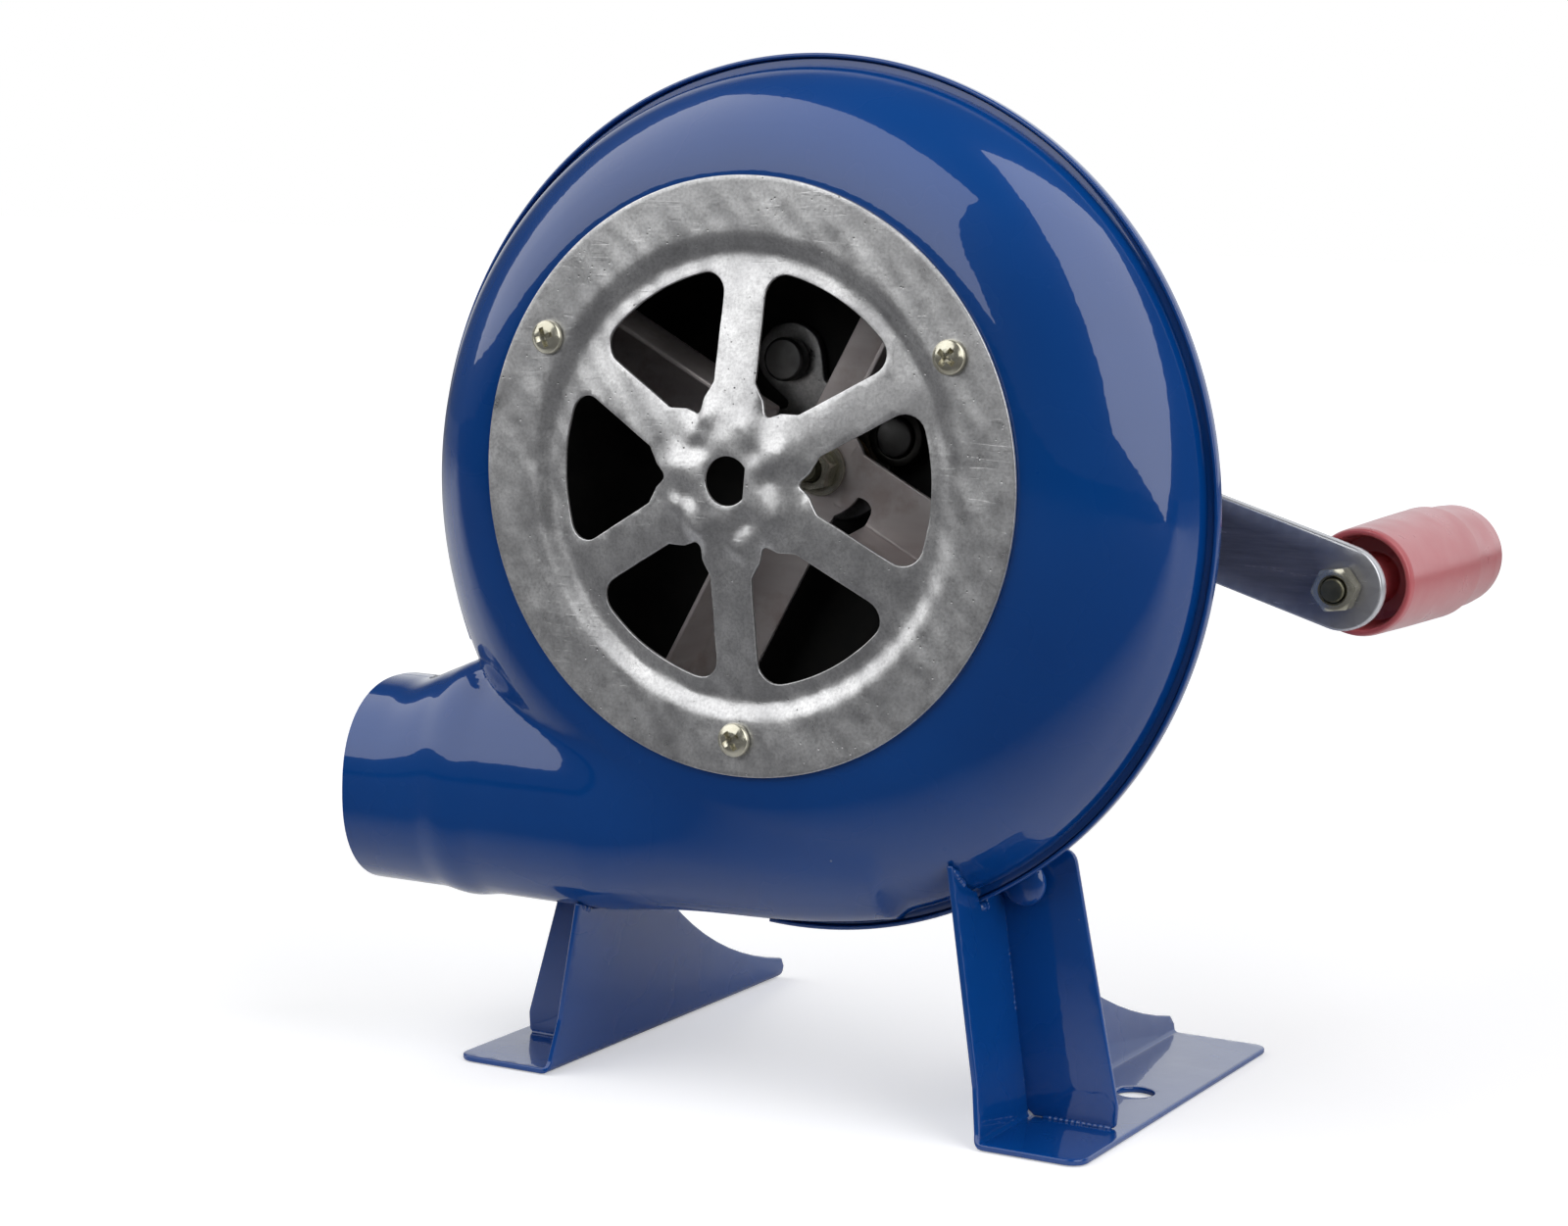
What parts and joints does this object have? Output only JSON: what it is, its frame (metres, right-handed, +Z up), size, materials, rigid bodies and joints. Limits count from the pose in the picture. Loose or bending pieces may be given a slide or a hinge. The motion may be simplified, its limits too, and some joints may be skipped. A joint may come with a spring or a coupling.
{
  "type": "forge blower",
  "caption": "Hand-cranked forge blower: pressed-steel fan housing with spoked inlet grille, side outlet pipe, two folded feet, rear gear case and a crank with a plastic grip.",
  "frame": {"origin": "centre of the bounding box in X and Y, at the height of the surface that the feet stand on", "axes": "+Z up, inlet grille faces -Y, crank at +Y, outlet pipe points to -X, all shafts parallel to Y"},
  "size_m": [0.2556, 0.179, 0.2584],
  "materials": {
    "blue_paint": "gloss cobalt-blue enamel on pressed steel sheet",
    "galvanised": "mottled galvanised sheet, satin",
    "zinc_plate": "yellowish zinc plate",
    "bright_steel": "machined steel",
    "dark_chrome": "plated flat bar, dark reflections",
    "bronze": "sintered bearing bronze",
    "red_plastic": "glossy maroon-red moulded plastic"
  },
  "bodies": {
    "housing": {"front_housing": "blue_paint", "rear_housing": "blue_paint", "left_foot": "blue_paint", "right_foot": "blue_paint", "gear_cover": "blue_paint", "inlet_grille": "galvanised", "grille_screw_1": "zinc_plate", "grille_screw_2": "zinc_plate", "grille_screw_3": "zinc_plate", "cover_screw_1": "zinc_plate", "cover_screw_2": "zinc_plate", "cover_screw_3": "zinc_plate", "cover_screw_4": "zinc_plate", "bearing_bracket": "galvanised", "bracket_rivet_1": "bright_steel", "bracket_rivet_2": "bright_steel", "fan_bush": "bronze", "crank_front_bush": "bronze", "crank_rear_bush": "bronze", "idler_pin": "bright_steel"},
    "fan": {"fan_shaft": "bright_steel", "fan_wheel": "galvanised", "fan_washer": "zinc_plate", "fan_nut": "zinc_plate", "fan_pinion": "bright_steel"},
    "idler": {"idler_gear": "bright_steel", "idler_pinion": "bright_steel"},
    "crank": {"crank_shaft": "bright_steel", "crank_gear": "bright_steel", "crank_arm": "dark_chrome", "crank_washer": "zinc_plate", "crank_nut": "zinc_plate", "grip_bolt": "zinc_plate", "grip_nut": "zinc_plate", "grip_lock_nut": "zinc_plate", "grip_spacer": "zinc_plate"},
    "grip": {"hand_grip": "red_plastic"}
  },
  "joints": [
    {"name": "crank_turn", "type": "hinge", "parent": "housing", "child": "crank", "pos_m": [0.00538, -0.0045, 0.16498], "axis": [0, 1, 0], "continuous": true},
    {"name": "idler_spin", "type": "hinge", "parent": "housing", "child": "idler", "pos_m": [-0.0258, -0.0185, 0.18298], "axis": [0, 1, 0], "continuous": true},
    {"name": "fan_spin", "type": "hinge", "parent": "housing", "child": "fan", "pos_m": [-0.0108, -0.0405, 0.157], "axis": [0, 1, 0], "continuous": true},
    {"name": "grip_spin", "type": "hinge", "parent": "crank", "child": "grip", "pos_m": [0.1132, 0.0485, 0.133], "axis": [0, 1, 0], "continuous": true}
  ],
  "couplings": [
    {"joint": "idler_spin", "follows": "crank_turn", "ratio": -5},
    {"joint": "fan_spin", "follows": "crank_turn", "ratio": 20}
  ]
}
